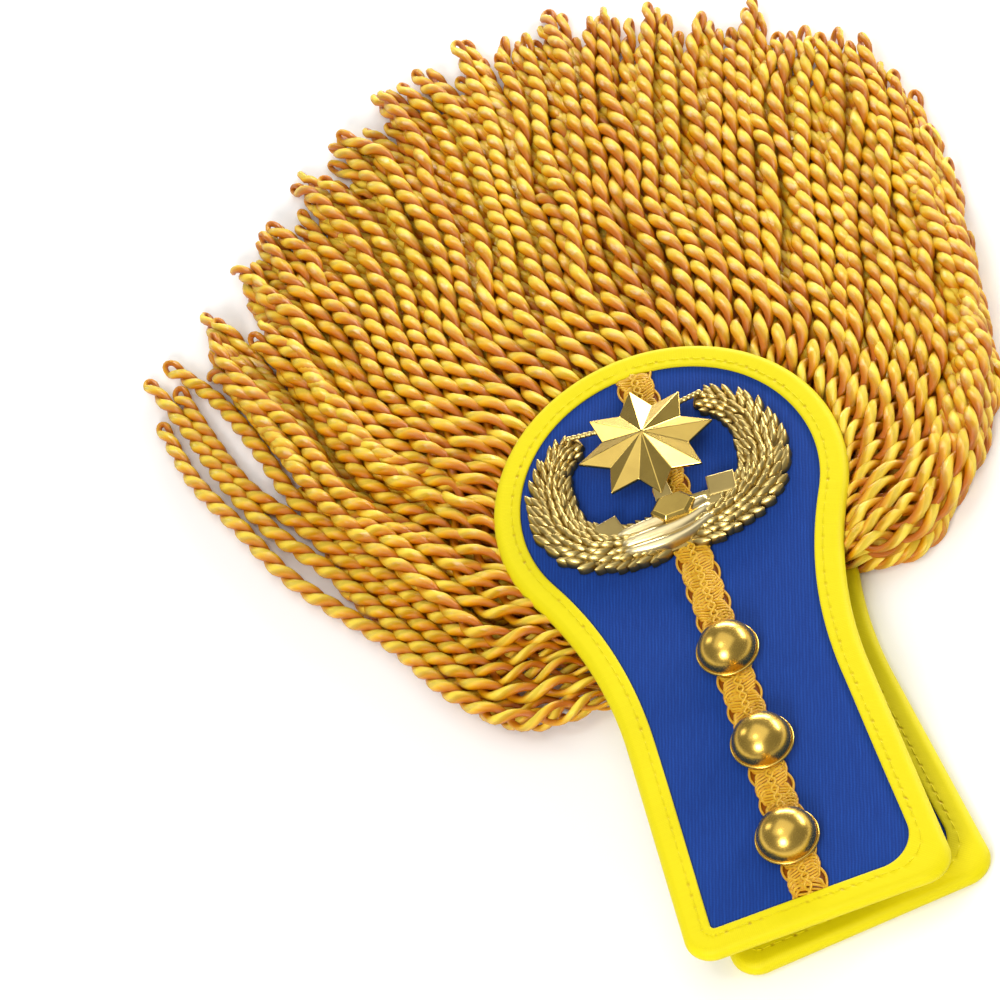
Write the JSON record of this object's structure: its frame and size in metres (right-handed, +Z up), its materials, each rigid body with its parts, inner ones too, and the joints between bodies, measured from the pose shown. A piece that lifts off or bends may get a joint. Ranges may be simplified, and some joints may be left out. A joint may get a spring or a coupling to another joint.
{
  "type": "tassel epaulette",
  "caption": "Shoulder epaulette of cloth-covered keyhole boards bound in yellow tape, with a thick gold bullion fringe, gimp braid, domed gilt buttons and a cast wreath and star badge.",
  "frame": {"origin": "on the floor under the middle of the whole object's box, fringe included", "axes": "+Z up through the badge, +Y from the strap's square end towards the round shoulder end and the fringe's tips, +X to the right when looking down with the round end away"},
  "size_m": [0.1916, 0.2696, 0.0211],
  "materials": {
    "blue_cloth": "finely ribbed matt cloth",
    "yellow_tape": "satin bias tape",
    "gold_bullion": "lustrous two-ply twisted cord",
    "gold_gimp": "lustrous gimp braid",
    "pale_brass": "cast and polished",
    "gilt_button": "stamped and polished"
  },
  "bodies": {
    "root": {"under_board": "blue_cloth", "under_binding": "yellow_tape", "fringe": "gold_bullion", "top_board": "blue_cloth", "top_binding": "yellow_tape", "braid": "gold_gimp", "badge": "pale_brass", "button_1": "gilt_button", "button_2": "gilt_button", "button_3": "gilt_button"}
  },
  "joints": []
}
